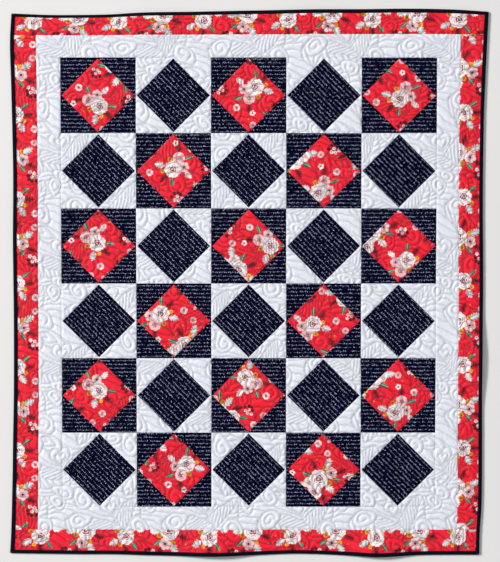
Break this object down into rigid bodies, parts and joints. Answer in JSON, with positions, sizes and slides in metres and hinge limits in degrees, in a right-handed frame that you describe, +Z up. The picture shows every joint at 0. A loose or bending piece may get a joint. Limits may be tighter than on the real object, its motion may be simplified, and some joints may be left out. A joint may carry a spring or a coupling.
{
  "type": "pieced lap quilt",
  "caption": "Pieced lap quilt lying flat: squares set on point inside square blocks, a plain inner border, a floral outer border and a narrow dark binding.",
  "frame": {"origin": "middle of the whole quilt's footprint, on the surface that it lies on", "axes": "+X towards the picture's right, +Y along the quilt's length towards the picture's top, +Z up out of the quilted face"},
  "size_m": [1.0552, 1.2088, 0.0126],
  "materials": {
    "pieced_cotton": "quilted cotton patches in white, navy dash print and red floral print",
    "navy_print_cotton": "matt quilting cotton, navy with rows of short white dashes",
    "white_cotton": "matt white quilting cotton",
    "floral_cotton": null,
    "binding_cotton": "matt dark navy cotton, folded double",
    "backing_cotton": "plain matt cotton under the quilt",
    "quilting_thread": "light polyester quilting thread"
  },
  "bodies": {
    "root": {"pieced_panel": "pieced_cotton", "inner_border_top": "white_cotton", "inner_border_bottom": "white_cotton", "inner_border_left": "white_cotton", "inner_border_right": "white_cotton", "outer_border_top": "floral_cotton", "outer_border_bottom": "floral_cotton", "outer_border_left": "floral_cotton", "outer_border_right": "floral_cotton", "binding_top": "binding_cotton", "binding_bottom": "binding_cotton", "binding_left": "binding_cotton", "binding_right": "binding_cotton"}
  },
  "joints": []
}
